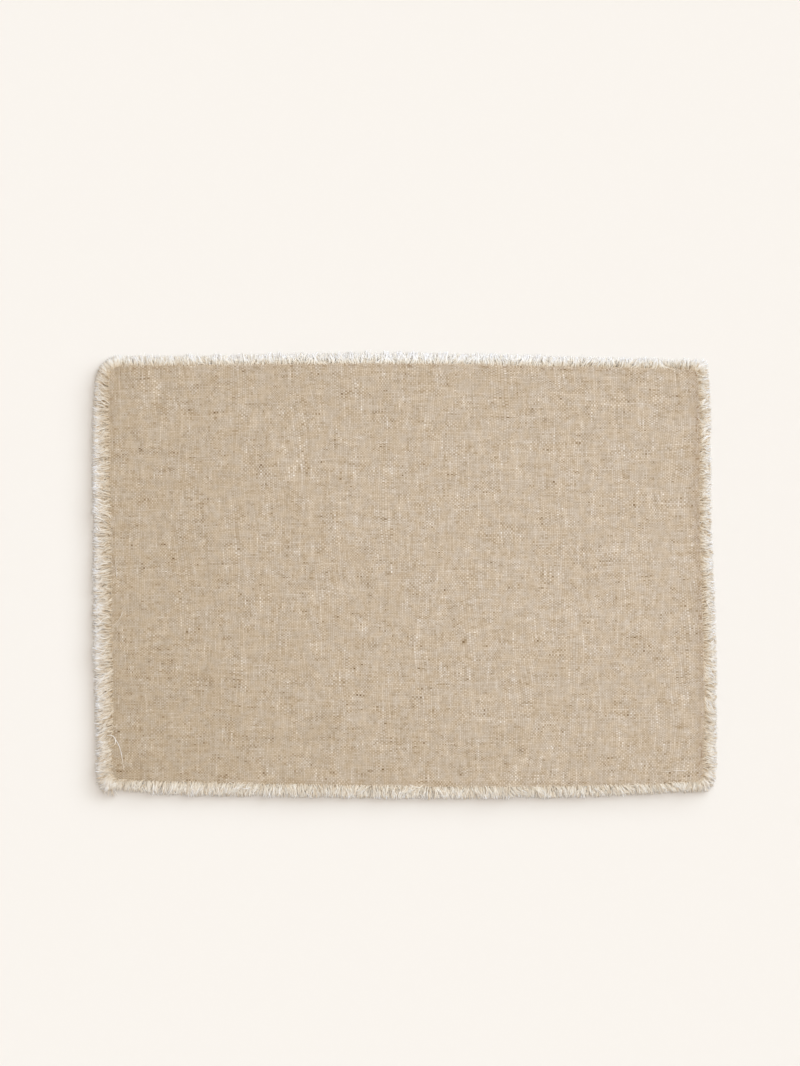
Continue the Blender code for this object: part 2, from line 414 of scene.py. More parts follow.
class Wiring:
    """Adds nodes to one tree and joins them, so that a finish reads as a list of steps."""

    def __init__(self, tree: bpy.types.NodeTree) -> None:
        """Takes the tree that the nodes go into."""
        self.tree = tree

    def feed(self, socket: Socket, value: Value) -> None:
        """Joins a socket to another, or sets its own value.

        Args:
            socket: The socket to feed.
            value: Another socket, or the value itself.
        """
        if isinstance(value, Socket):
            self.tree.links.new(value, socket)
        else:
            socket.default_value = value

    def node(self, kind: str, *values: Value | None, **settings: object) -> bpy.types.Node:
        """Adds a node.

        Args:
            kind: The node's type, without its ShaderNode.
            values: What feeds its inputs, in order; None leaves one as it is.
            settings: The node's own properties.

        Returns:
            The node.
        """
        made = self.tree.nodes.new("ShaderNode" + kind)
        for name, setting in settings.items():
            setattr(made, name, setting)
        for socket, value in zip(made.inputs, values):
            if value is not None:
                self.feed(socket, value)
        return made

    def math(self, operation: str, *values: Value) -> Socket:
        """One step of arithmetic on numbers."""
        return self.node("Math", *values, operation=operation).outputs[0]

    def times(self, first: Value, second: Value, plus: Value = 0.0) -> Socket:
        """The product of two numbers, plus a third."""
        return self.math("MULTIPLY_ADD", first, second, plus)

    def centred(self, value: Value) -> Socket:
        """A number that lies around one half, laid around zero."""
        return self.math("SUBTRACT", value, 0.5)

    def point(self, x: Value, y: Value, z: Value = 0.0) -> Socket:
        """A vector from its three parts."""
        return self.node("CombineXYZ", x, y, z).outputs[0]

    def parts(self, vector: Value) -> list[Socket]:
        """A vector's three parts."""
        return list(self.node("SeparateXYZ", vector).outputs)

    def blend(self, share: Value, first: Value, second: Value) -> Socket:
        """A number between two others."""
        return self.node("Mix", share, None, first, second, data_type="FLOAT").outputs[0]

    def tint(self, share: Value, first: Value, second: Value, way: str = "MIX") -> Socket:
        """A colour mixed from two others.

        Args:
            share: How much of the second there is.
            first: The first colour.
            second: The second colour.
            way: The way of mixing.

        Returns:
            The mixed colour.
        """
        mix = self.node("Mix", data_type="RGBA", blend_type=way)
        for name, value in (("Factor_Float", share), ("A_Color", first), ("B_Color", second)):
            self.feed(next(s for s in mix.inputs if s.identifier == name), value)
        return next(s for s in mix.outputs if s.identifier == "Result_Color")

    def noise(self, place: Value, scale: float, detail: float = 0.0) -> Socket:
        """Smooth noise around one half.

        Args:
            place: Where it is read.
            scale: How many of its bumps there are to a unit.
            detail: How much finer noise is laid over it.

        Returns:
            Its value.
        """
        made = self.node("TexNoise", noise_dimensions="3D")
        self.feed(made.inputs["Vector"], place)
        made.inputs["Scale"].default_value = scale
        made.inputs["Detail"].default_value = detail
        return made.outputs[0]

    def step(self, value: Value, ends: Pair) -> Socket:
        """A soft step from 0 at the first end to 1 at the second."""
        return self.node("MapRange", value, *ends, interpolation_type="SMOOTHSTEP").outputs[0]

    def group(self, tree: bpy.types.NodeTree, *values: Value) -> list[Socket]:
        """A node group, fed in order."""
        made = self.node("Group", node_tree=tree)
        for socket, value in zip(made.inputs, values):
            self.feed(socket, value)
        return list(made.outputs)


def new_group(name: str, inputs: tuple[str, ...], outputs: tuple[str, ...]) -> tuple[Wiring, list, list]:
    """Starts a shader node group whose inputs and outputs are all numbers.

    Args:
        name: The group's name.
        inputs: Its inputs' names.
        outputs: Its outputs' names.

    Returns:
        Its wiring, the sockets that bring its inputs, and the sockets that take its outputs.
    """
    tree = bpy.data.node_groups.new(name, "ShaderNodeTree")
    for names, way in ((inputs, "INPUT"), (outputs, "OUTPUT")):
        for item in names:
            tree.interface.new_socket(item, in_out=way, socket_type="NodeSocketFloat")
    entry = tree.nodes.new("NodeGroupInput")
    leave = tree.nodes.new("NodeGroupOutput")
    return Wiring(tree), list(entry.outputs)[: len(inputs)], list(leave.inputs)[: len(outputs)]


@dataclass(frozen=True)
class Course:
    """One noise along a yarn: its size, and how far apart it is read on neighbouring yarns."""

    size_mm: float
    spread: float
    start: float
    shown: Pair = (0.0, 1.0)


@dataclass(frozen=True)
class MelangeYarn:
    """How a yarn spun of light and dark fibres changes along its length."""

    slow: Course = Course(26.0, spread=3.173, start=0.7)
    quick: Course = Course(4.0, spread=5.719, start=40.3)
    streaks: Course = Course(20.0, spread=7.913, start=80.1, shown=(0.60, 0.74))
    flecks: Course = Course(7.0, spread=4.441, start=120.9, shown=(0.65, 0.78))

    def group(self) -> bpy.types.NodeTree:
        """Builds the node group.

        Returns:
            The group: from a yarn's number and the place along it to its tone, streaks and flecks.
        """
        wiring, (yarn, length), (tone, streak, fleck) = new_group(
            "melange yarn", ("Yarn", "Along mm"), ("Tone", "Light streak", "Dark fleck")
        )

        def read(course: Course) -> Socket:
            """Noise that has its own course on each yarn."""
            number = wiring.times(yarn, course.spread, course.start)
            return wiring.noise(wiring.point(number, wiring.math("DIVIDE", length, course.size_mm)), 1.0)

        slow, quick = wiring.centred(read(self.slow)), wiring.centred(read(self.quick))
        wiring.feed(tone, wiring.math("ADD", quick, slow))
        wiring.feed(streak, wiring.step(read(self.streaks), self.streaks.shown))
        wiring.feed(fleck, wiring.step(read(self.flecks), self.flecks.shown))
        return wiring.tree


@dataclass(frozen=True)
class PlainWeave:
    """One yarn over and one under, from the counts of the warp and weft yarns at a place."""

    fall_across: float = 0.9
    fall_along: float = 0.5

    def group(self) -> bpy.types.NodeTree:
        """Builds the node group.

        Returns:
            The group: which yarn is on top, the numbers of both, and how high the crown stands.
        """
        wiring, (warp, weft), outputs = new_group(
            "plain weave", ("Warp", "Weft"), ("Warp on top", "Warp yarn", "Weft yarn", "Crown")
        )
        warp_yarn, weft_yarn = wiring.math("ROUND", warp), wiring.math("ROUND", weft)
        on_top = wiring.math("FLOORED_MODULO", wiring.math("ADD", warp_yarn, weft_yarn), 2.0)

        def square(place: Value, yarn: Value) -> Socket:
            """How far off the crossing's middle a place is, squared, up to 1 at its rim."""
            off = wiring.times(wiring.math("SUBTRACT", place, yarn), 2.0)
            return wiring.times(off, off)

        def crown(across: Value, lengthways: Value) -> Socket:
            """The rounded back of the yarn that is on top."""
            side = wiring.times(across, -self.fall_across, 1.0)
            return wiring.times(side, wiring.times(lengthways, -self.fall_along, 1.0))

        off_warp, off_weft = square(warp, warp_yarn), square(weft, weft_yarn)
        height = wiring.blend(on_top, crown(off_weft, off_warp), crown(off_warp, off_weft))
        for socket, value in zip(outputs, (on_top, warp_yarn, weft_yarn, height)):
            wiring.feed(socket, value)
        return wiring.tree


@dataclass(frozen=True)
class Palette:
    """The light that flax-coloured yarn gives back, from its darkest flecks to its lightest slubs."""

    stops: tuple[tuple[float, Triple], ...]
    strength: Triple = (1.0, 1.0, 1.0)

    def ramp(self, wiring: Wiring, tone: Value) -> Socket:
        """Turns a tone from 0 to 1 into a colour.

        Args:
            wiring: The tree to add it to.
            tone: The tone.

        Returns:
            The colour.
        """
        made = wiring.node("ValToRGB", tone)
        points = made.color_ramp.elements
        while len(points) < len(self.stops):
            points.new(0.5)
        for point, (place, colour) in zip(points, self.stops):
            point.position = place
            point.color = (*(part * gain for part, gain in zip(linear(*colour), self.strength)), 1.0)
        return made.outputs[0]


@dataclass(frozen=True)
class Surface:
    """How dull, downy and uneven a fabric is to the light."""

    roughness: float
    sheen: float
    sheen_roughness: float
    bump: float
    bump_strength: float
    specular: float = 0.15

    def dress(self, wiring: Wiring, shader: bpy.types.Node, colour: Value, height: Value) -> None:
        """Feeds and sets a Principled BSDF.

        Args:
            wiring: The material's wiring.
            shader: The Principled BSDF.
            colour: Its colour.
            height: The height that its bump follows.
        """
        wiring.feed(shader.inputs["Base Color"], colour)
        shader.inputs["Roughness"].default_value = self.roughness
        shader.inputs["Specular IOR Level"].default_value = self.specular
        shader.inputs["Sheen Weight"].default_value = self.sheen
        shader.inputs["Sheen Roughness"].default_value = self.sheen_roughness
        raised = wiring.node("Bump")
        raised.inputs["Distance"].default_value = self.bump
        raised.inputs["Strength"].default_value = self.bump_strength
        wiring.feed(raised.inputs["Height"], height)
        wiring.feed(shader.inputs["Normal"], raised.outputs[0])


def new_material(name: str) -> tuple[bpy.types.Material, Wiring, bpy.types.Node]:
    """Starts a material.

    Args:
        name: Its name.

    Returns:
        The material, its wiring and its Principled BSDF.
    """
    material = bpy.data.materials.new(name)
    material.use_nodes = True
    return material, Wiring(material.node_tree), material.node_tree.nodes["Principled BSDF"]


@dataclass(frozen=True)
class PaintedFalloff:
    """Painted shade: slowly darker and warmer towards the left and the front, away from the light.

    The slopes and bends are for x and for y, a metre; the hue is how strongly red, green and blue darken.
    """

    middle: float = 1.020
    slopes: Pair = (0.35, 0.15)
    bends: Pair = (-0.75, -1.3)
    twist: float = -0.5
    hue: Triple = (0.86, 1.0, 1.30)

    def build(self, wiring: Wiring, spot: Value) -> Socket:
        """The painted shade: the share of its own light that the cloth gives back, as a colour.

        Args:
            wiring: The tree to add it to.
            spot: The place on the mat.

        Returns:
            The colour to multiply by.
        """
        x, y, _ = wiring.parts(spot)
        light: Value = self.middle
        for place, slope, bend in zip((x, y), self.slopes, self.bends):
            light = wiring.times(place, wiring.times(place, bend, slope), light)
        light = wiring.times(wiring.times(x, y), self.twist, light)
        return wiring.point(*(wiring.math("POWER", light, power) for power in self.hue))


@dataclass(frozen=True)
class FellShade:
    """Painted shade: brown dashes just inside the cut edges, for the shadows between the last, packed
    yarns.

    The band's rims are counted in yarns from the edge. The gain is at the front left and at the back
    right. Along the right edge a plain brown rim, some yarns wide, lies over it.
    """

    colour: Triple = (128, 98, 62)
    outer_rim: Pair = (0.2, 1.0)
    inner_rim: Pair = (2.0, 4.2)
    patches_a_metre: float = 120.0
    patches: Pair = (0.42, 0.60)
    dashes: Pair = (0.55, 0.85)
    gain: Pair = (0.12, 0.62)
    right_yarns: float = 9.0
    right_gain: float = 0.17

    def build(
        self, wiring: Wiring, plan: MatPlan, counts: list[Socket], spot: Value, chance: Value
    ) -> Socket:
        """How much of the painted brown shade there is.

        Args:
            wiring: The tree to add it to.
            plan: The mat's plan.
            counts: The place among the warp and among the weft yarns.
            spot: The place on the mat.
            chance: A number of its own for each crossing.

        Returns:
            The share of brown.
        """
        inside: Value = float(plan.warp_yarns)
        ripe: Value = 0.0
        for place, yarns in zip(counts, (plan.warp_yarns, plan.weft_yarns)):
            away = wiring.math("SUBTRACT", float(yarns), place)
            inside = wiring.math("MINIMUM", inside, wiring.math("MINIMUM", place, away))
            ripe = wiring.times(place, 1 / (2 * yarns), ripe)
        start, end = wiring.step(inside, self.outer_rim), wiring.step(inside, self.inner_rim)
        band = wiring.math("SUBTRACT", start, end)
        patchy = wiring.step(wiring.noise(spot, self.patches_a_metre, 1.0), self.patches)
        much = wiring.times(wiring.times(band, patchy), wiring.step(chance, self.dashes))
        low, high = self.gain
        right = wiring.step(counts[0], (plan.warp_yarns - self.right_yarns, plan.warp_yarns))
        right = wiring.times(right, self.right_gain)
        return wiring.times(much, wiring.times(ripe, high - low, low), right)


@dataclass(frozen=True)
class Wander:
    """How far, in yarns, and how quickly a set of yarns wanders out of line, so that no two lie alike."""

    across_a_metre: float = 150.0
    along_a_metre: float = 45.0
    quick: float = 1.7
    slow: float = 9.0
    slowness: float = 0.22

    def build(self, wiring: Wiring, counts: list[Socket], spot: Value) -> list[Socket]:
        """Moves the places among the warp and among the weft yarns.

        Args:
            wiring: The tree to add it to.
            counts: The place among the warp and among the weft yarns.
            spot: The place on the mat.

        Returns:
            The places as moved.
        """
        moved = []
        ways = (self.across_a_metre, self.along_a_metre), (self.along_a_metre, self.across_a_metre)
        for place, way in zip(counts, ways):
            stretched = wiring.node("VectorMath", spot, (*way, 1.0), operation="MULTIPLY").outputs[0]
            for scale, detail, most in ((1.0, 1.0, self.quick), (self.slowness, 0.0, self.slow)):
                place = wiring.times(wiring.centred(wiring.noise(stretched, scale, detail)), most, place)
            moved.append(place)
        return moved


@dataclass(frozen=True)
class Show:
    """How much of the warp shows at a crossing where it is below and where it is on top."""

    below: float
    on_top: float

    def mix(self, wiring: Wiring, on_top: Value, weft: Value, warp: Value) -> Socket:
        """Mixes what a weft and a warp yarn give to a crossing: mostly that of the one on top."""
        return wiring.blend(wiring.times(on_top, self.on_top - self.below, self.below), weft, warp)


@dataclass(frozen=True)
class ClothFinish:
    """The mottled plain weave: blotches where warp and weft differ, light streaks and dark flecks."""

    melange: bpy.types.NodeTree
    weave: bpy.types.NodeTree
    plan: MatPlan
    palette: Palette = Palette(
        stops=(
            (0.00, (114, 91, 61)),
            (0.22, (171, 151, 124)),
            (0.50, (198, 181, 158)),
            (0.78, (217, 202, 182)),
            (1.00, (240, 230, 215)),
        ),
        strength=(0.947, 0.984, 1.042),
    )
    surface: Surface = Surface(0.92, sheen=0.08, sheen_roughness=0.6, bump=0.10 * MM, bump_strength=1.0)
    painted_falloff: PaintedFalloff = PaintedFalloff()
    fell_shade: FellShade = FellShade()
    wander: Wander = Wander()
    shows: tuple[Show, ...] = (Show(0.30, 0.70), Show(0.52, 0.74), Show(0.20, 0.50))
    weft_start: float = 500.0
    middle_tone: float = 0.5
    tone_gain: float = 0.57
    patch_mm: float = 13.0
    patches: Pair = (0.36, 0.66)
    patch_tone: Pair = (0.72, 1.22)
    patch_contrast: Pair = (0.38, 1.00)
    blotch_mm: float = 9.0
    blotch_gain: float = 0.18
    checker: float = 0.255
    grain: float = 0.165
    streak_gain: float = 0.19
    fleck_gain: float = 0.22
    hue_mm: float = 7.0
    hues: Pair = (0.34, 0.66)
    warm: Triple = (1.015, 1.0, 0.974)
    cool: Triple = (0.985, 1.0, 1.030)
    # Painted shade: the low places between the yarns' crowns are painted towards the gap colour.
    gap_shade_crown: float = 0.5
    gap_shade_colour: Triple = (150, 126, 96)
    fibres_a_metre: float = 2600.0
    fibre_height: float = 0.25

    def material(self) -> bpy.types.Material:
        """Builds the finish.

        Returns:
            The material.
        """
        material, wiring, shader = new_material("woven flax cloth")
        spot = wiring.node("TexCoord").outputs["Object"]
        counts = wiring.parts(wiring.node("UVMap", uv_map=WEAVE_MAP).outputs[0])[:2]
        warp, weft = self.wander.build(wiring, counts, spot)
        on_top, warp_yarn, weft_yarn, crown = wiring.group(self.weave, warp, weft)
        crossing = wiring.point(warp_yarn, weft_yarn)
        chance = wiring.node("TexWhiteNoise", crossing, noise_dimensions="2D").outputs[0]
        tone = self.tone(wiring, spot, (warp, weft), (warp_yarn, weft_yarn), on_top, chance)
        colour = self.palette.ramp(wiring, tone)
        hue = wiring.step(wiring.noise(spot, 1 / (self.hue_mm * MM), 1.0), self.hues)
        hue = wiring.tint(hue, (*self.warm, 1.0), (*self.cool, 1.0))
        colour = wiring.tint(1.0, colour, hue, "MULTIPLY")
        # Painted shade: slowly darker and warmer towards the left and the front.
        colour = wiring.tint(1.0, colour, self.painted_falloff.build(wiring, spot), "MULTIPLY")
        # Painted shade between the yarns' crowns.
        colour = wiring.tint(wiring.step(crown, (0.0, self.gap_shade_crown)), linear(*self.gap_shade_colour), colour)
        # Painted shade: brown dashes just inside the cut edges.
        fell_shade = self.fell_shade.build(wiring, self.plan, counts, spot, chance)
        colour = wiring.tint(fell_shade, colour, linear(*self.fell_shade.colour))
        height = wiring.times(wiring.noise(spot, self.fibres_a_metre, 1.0), self.fibre_height, crown)
        self.surface.dress(wiring, shader, colour, height)
        return material

    def tone(
        self,
        wiring: Wiring,
        spot: Value,
        places: tuple[Socket, Socket],
        yarns: tuple[Socket, Socket],
        on_top: Value,
        chance: Value,
    ) -> Socket:
        """How light the cloth is at a place, from 0 to 1.

        Args:
            wiring: The tree to add it to.
            spot: The place on the mat.
            places: The place among the warp and among the weft yarns.
            yarns: The numbers of the warp and of the weft yarn there.
            on_top: 1 where the warp yarn is on top, otherwise 0.
            chance: A number of its own for each crossing.

        Returns:
            The tone.
        """
        (warp, weft), (warp_yarn, weft_yarn) = places, yarns
        warp_run = wiring.times(weft, self.plan.weft_pitch / MM)
        weft_run = wiring.times(warp, self.plan.warp_pitch / MM)
        warp_look = wiring.group(self.melange, warp_yarn, warp_run)
        weft_look = wiring.group(self.melange, wiring.math("ADD", weft_yarn, self.weft_start), weft_run)
        tone, streak, fleck = (
            show.mix(wiring, on_top, weft, warp)
            for show, weft, warp in zip(self.shows, weft_look, warp_look)
        )
        patch = wiring.step(wiring.noise(spot, 1 / (self.patch_mm * MM), 1.0), self.patches)
        blotch = wiring.centred(wiring.noise(spot, 1 / (self.blotch_mm * MM), 2.0))
        liveliness, contrast = (
            wiring.times(patch, high - low, low) for low, high in (self.patch_tone, self.patch_contrast)
        )
        checker = wiring.times(wiring.centred(on_top), self.checker)
        cells = wiring.times(wiring.centred(chance), self.grain, checker)
        tone = wiring.times(wiring.times(liveliness, tone), self.tone_gain, self.middle_tone)
        tone = wiring.times(cells, contrast, tone)
        tone = wiring.times(blotch, self.blotch_gain, tone)
        tone = wiring.times(streak, self.streak_gain, tone)
        return wiring.times(fleck, -self.fleck_gain, tone)


@dataclass(frozen=True)
class SideTone:
    """How much lighter the fringe is painted past one edge of the mat, at its yarns' roots and at their
    tips.

    The drift is how much that grows with each metre along the edge, to the right or the back.
    """

    axis: int
    start_mm: float
    full_mm: float
    root: float
    tip: float
    drift: float = 0.0

    def build(self, wiring: Wiring, spot: list[Socket], run: Value) -> Socket:
        """How much lighter it is.

        Args:
            wiring: The tree to add it to.
            spot: The place on the mat, in its parts.
            run: How far out along its yarn the place is, from 0 to 1.

        Returns:
            What is added to the tone.
        """
        there = wiring.step(spot[self.axis], (self.start_mm * MM, self.full_mm * MM))
        gain = wiring.times(run, self.tip - self.root, self.root)
        gain = wiring.times(gain, wiring.times(spot[1 - self.axis], self.drift, 1.0))
        return wiring.times(there, gain)


@dataclass(frozen=True)
class YarnFinish:
    """The loose ends: pale, matt, a little darker and warmer where they leave the cloth."""

    melange: bpy.types.NodeTree
    palette: Palette = Palette(
        stops=(
            (0.00, (168, 142, 108)),
            (0.22, (206, 187, 159)),
            (0.48, (229, 218, 200)),
            (0.66, (238, 231, 217)),
            (0.80, (247, 243, 235)),
            (1.00, (254, 253, 250)),
        ),
        strength=(1.01, 1.035, 1.085),
    )
    surface: Surface = Surface(0.9, sheen=0.1, sheen_roughness=0.5, bump=0.05 * MM, bump_strength=0.8)
    tone_scale: float = 0.8
    root_tone: float = 0.17
    melange_gain: float = 0.5
    yarn_gain: float = 0.36
    clump_mm: float = 3.5
    clump_gain: float = 0.36
    paler: tuple[tuple[Pair, float], ...] = (((0.0, 6.0), 0.22), ((6.0, 14.0), 0.26))
    # Painted shade: below these heights the strands that lie low, under the others, are painted darker.
    raised: Pair = (0.4 * MM, 1.4 * MM)
    low_shade_gain: float = 0.18
    fleck_gain: float = 0.25
    run_mm: Pair = (1.0, 12.0)
    # Painted light: the first row lightens the back fringe and the fourth the right fringe's tips, as they
    # face the light.
    sides: tuple[SideTone, ...] = (
        SideTone(axis=1, start_mm=164, full_mm=177, root=0.64, tip=0.63, drift=1.0),
        SideTone(axis=1, start_mm=-160, full_mm=-167, root=0.24, tip=0.08),
        SideTone(axis=1, start_mm=-171, full_mm=-178, root=0.0, tip=0.31, drift=1.2),
        SideTone(axis=0, start_mm=226, full_mm=234, root=0.0, tip=0.38, drift=2.4),
        SideTone(axis=0, start_mm=-242, full_mm=-250, root=0.0, tip=0.28),
    )
    root_hue: Triple = (1.004, 1.0, 0.982)
    tip_hue: Triple = (0.990, 1.0, 1.035)
    twists_a_mm: float = 0.8

    def material(self) -> bpy.types.Material:
        """Builds the finish.

        Returns:
            The material.
        """
        material, wiring, shader = new_material("frayed flax yarn")
        spot = wiring.node("TexCoord").outputs["Object"]
        strand_run, strand_turn, _ = wiring.parts(wiring.node("UVMap", uv_map=WEAVE_MAP).outputs[0])
        length = wiring.times(strand_run, MAP_MM)
        strand, around = wiring.math("FLOOR", strand_turn), wiring.math("FRACT", strand_turn)
        run = wiring.step(length, self.run_mm)
        tone = self.tone(wiring, spot, strand, length, run)
        colour = self.palette.ramp(wiring, wiring.times(tone, self.tone_scale))
        hue = wiring.tint(run, (*self.root_hue, 1.0), (*self.tip_hue, 1.0))
        colour = wiring.tint(1.0, colour, hue, "MULTIPLY")
        twist = wiring.math("SINE", wiring.times(wiring.times(length, self.twists_a_mm, around), TURN))
        self.surface.dress(wiring, shader, colour, twist)
        return material

    def tone(self, wiring: Wiring, spot: Value, strand: Value, length: Value, run: Value) -> Socket:
        """How light a yarn end is at a place, from 0 to 1.

        Args:
            wiring: The tree to add it to.
            spot: The place on the mat.
            strand: The strand's number.
            length: How far along the strand the place is, in millimetres.
            run: The same, from 0 at its root to 1.

        Returns:
            The tone.
        """
        own = wiring.node("TexWhiteNoise", noise_dimensions="1D")
        wiring.feed(own.inputs["W"], strand)
        parts = wiring.parts(spot)
        melange, _, fleck = wiring.group(self.melange, strand, length)
        tone = wiring.times(melange, self.melange_gain, self.root_tone)
        tone = wiring.times(wiring.centred(own.outputs[0]), self.yarn_gain, tone)
        clump = wiring.centred(wiring.noise(spot, 1 / (self.clump_mm * MM), 1.0))
        tone = wiring.times(clump, self.clump_gain, tone)
        for stretch_mm, gain in self.paler:
            tone = wiring.times(wiring.step(length, stretch_mm), gain, tone)
        # Painted shade on the strands that lie low.
        tone = wiring.times(wiring.step(parts[2], self.raised), self.low_shade_gain, tone)
        # Painted light, where the fringe faces the light, comes in with the sides' gains.
        most: Value = 0.0
        for side in self.sides:
            most = wiring.math("MAXIMUM", most, side.build(wiring, parts, run))
        tone = wiring.math("ADD", tone, most)
        return wiring.times(fleck, -self.fleck_gain, tone)


# --------------------------------------------------------------------------- meshes and pieces


def read(items: bpy.types.bpy_prop_collection, name: str, width: int = 1) -> np.ndarray:
    """Reads a property of all of a mesh's items.

    Args:
        items: The items.
        name: The property.
        width: How many numbers it has; a single one is whole.

    Returns:
        The numbers, as rows where there are more than one to an item.
    """
    values = np.empty(len(items) * width, np.int32 if width == 1 else np.float32)
    items.foreach_get(name, values)
    return values if width == 1 else values.reshape(-1, width).astype(float)


def add_maps(data: bpy.types.Mesh, weave: np.ndarray, baked: np.ndarray) -> None:
    """Gives a mesh the map that its finish reads, and a flat one with no part over another.

    Args:
        data: The mesh.
        weave: The first map's rows of u and v.
        baked: The second map's.
    """
    for name, rows in ((WEAVE_MAP, weave), (BAKE_MAP, baked)):
        layer = data.uv_layers.new(name=name)
        layer.data.foreach_set("uv", rows.astype(np.float32).ravel())
    data.uv_layers.active = data.uv_layers[WEAVE_MAP]
    data.uv_layers[WEAVE_MAP].active_render = True


def add_object(name: str, data: bpy.types.ID) -> bpy.types.Object:
    """Makes an object of a mesh, a light or a camera, and puts it in the scene."""
    made = bpy.data.objects.new(name, data)
    bpy.context.scene.collection.objects.link(made)
    return made


@dataclass
class WovenCloth:
    """The one woven piece, without its fringe: a closed sheet with a vertex at every crossing.

    The margins are where each part of the flat map starts and how wide it is.
    """

    plan: MatPlan
    crimp: float = 0.07 * MM
    slub: float = 0.10 * MM
    slub_run: int = 9
    slub_limit: float = 1.8
    rim_height: float = 1.55 * MM
    sharp: float = math.radians(50)
    across_margin: Pair = (0.01, 0.98)
    top_margin: Pair = (0.05, 0.94)
    low_margin: Pair = (0.002, 0.03)
    seed: int = 7

    def build(self, finish: bpy.types.Material) -> bpy.types.Object:
        """Makes the cloth.

        Args:
            finish: Its material.

        Returns:
            The piece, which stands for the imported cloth.
        """
        warps, wefts = self.plan.warp_yarns, self.plan.weft_yarns
        mesh = bmesh.new()
        bmesh.ops.create_grid(mesh, x_segments=warps, y_segments=wefts, size=0.5)
        rim = [edge for edge in mesh.edges if edge.is_boundary]
        wall = bmesh.ops.extrude_edge_only(mesh, edges=rim)["geom"]
        low = [item for item in wall if isinstance(item, bmesh.types.BMVert)]
        bmesh.ops.translate(mesh, vec=(0, 0, -1), verts=low)
        foot = [edge for edge in mesh.edges if edge.is_boundary]
        bmesh.ops.edgeloop_fill(mesh, edges=foot)
        bmesh.ops.recalc_face_normals(mesh, faces=mesh.faces[:])
        data = bpy.data.meshes.new("woven_cloth")
        mesh.to_mesh(data)
        mesh.free()
        count = read(data.vertices, "co", 3)
        warp, weft = (count[:, 0] + 0.5) * warps, (count[:, 1] + 0.5) * wefts
        under = count[:, 2] < -0.5
        self.map_yarns(data, warp, weft, under)
        data.vertices.foreach_set("co", self.place(warp, weft, under).astype(np.float32).ravel())
        data.shade_smooth()
        data.set_sharp_from_angle(angle=self.sharp)
        data.update()
        data.materials.append(finish)
        piece = add_object(data.name, data)
        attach(piece, BODY)
        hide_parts("cloth")
        return piece

    def place(self, warp: np.ndarray, weft: np.ndarray, under: np.ndarray) -> np.ndarray:
        """Works out where each vertex lies.

        Args:
            warp: Each vertex's place among the warp yarns.
            weft: Each vertex's place among the weft yarns.
            under: Whether it is on the underside.

        Returns:
            Rows of x, y and z.
        """
        plan = self.plan
        half = np.array([plan.length, plan.depth]) / 2
        yarns = np.array([plan.warp_yarns, plan.weft_yarns])
        counts = np.column_stack([warp, weft])
        xy = (counts / yarns - 0.5) * 2 * half
        for side_x, side_y, radius in plan.corners():
            side = np.array([side_x, side_y])
            centre = side * (half - radius)
            off = (xy - centre) * side
            inside = (off > 0).all(1)
            square = off[inside]
            drawn = square * (square.max(1) / np.linalg.norm(square, axis=1))[:, None]
            xy[inside] = centre + drawn * side
        height = plan.thickness + plan.lie(xy) + self.relief(warp, weft)
        at_rim = (np.abs(counts - yarns / 2) > yarns / 2 - 0.5).any(1)
        height = np.where(at_rim, self.rim_height, height)
        return np.column_stack([plan.on_origin(xy), np.where(under, 0.0, height)])

    def relief(self, warp: np.ndarray, weft: np.ndarray) -> np.ndarray:
        """The rise and fall from crossing to crossing, and of thick and thin places in the yarns.

        Args:
            warp: Each vertex's place among the warp yarns.
            weft: Each vertex's place among the weft yarns.

        Returns:
            The height of each vertex above the mean.
        """
        draw = np.random.default_rng(self.seed)
        shape = (self.plan.warp_yarns + 1, self.plan.weft_yarns + 1)
        window = np.hanning(self.slub_run + 2)[1:-1]
        window /= np.linalg.norm(window)

        def thickness(axis: int) -> np.ndarray:
            """Each yarn's thickness along its run."""
            rough = draw.standard_normal(shape)
            return np.apply_along_axis(lambda row: np.convolve(row, window, "same"), axis, rough)

        warp_slub, weft_slub = thickness(1), thickness(0)
        i, j = np.rint(warp).astype(int), np.rint(weft).astype(int)
        warp_on_top = (i + j) % 2 == 1
        slub = np.where(warp_on_top, warp_slub[i, j], weft_slub[i, j])
        lift = np.where(warp_on_top, self.crimp, -self.crimp)
        return lift + self.slub * np.clip(slub / self.slub_limit, -1, 1)

    def map_yarns(
        self, data: bpy.types.Mesh, warp: np.ndarray, weft: np.ndarray, under: np.ndarray
    ) -> None:
        """Gives the mesh its count of yarns, for the weave, and its flat map.

        Args:
            data: The mesh.
            warp: Each vertex's place among the warp yarns.
            weft: Each vertex's place among the weft yarns.
            under: Whether it is on the underside.
        """
        corner = read(data.loops, "vertex_index")
        sizes = read(data.polygons, "loop_total")
        low_face = np.maximum.reduceat(under[corner], np.r_[0, np.cumsum(sizes)[:-1]])
        low = np.repeat(low_face, sizes).astype(bool)

        def spread(share: np.ndarray, margin: Pair) -> np.ndarray:
            """A share of the way across a part of the flat map."""
            return margin[0] + margin[1] * share

        across = spread(warp[corner] / self.plan.warp_yarns, self.across_margin)
        up = weft[corner] / self.plan.weft_yarns
        up = np.where(low, spread(up, self.low_margin), spread(up, self.top_margin))
        add_maps(data, np.column_stack([warp[corner], weft[corner]]), np.column_stack([across, up]))


# --------------------------------------------------------------------------- strands


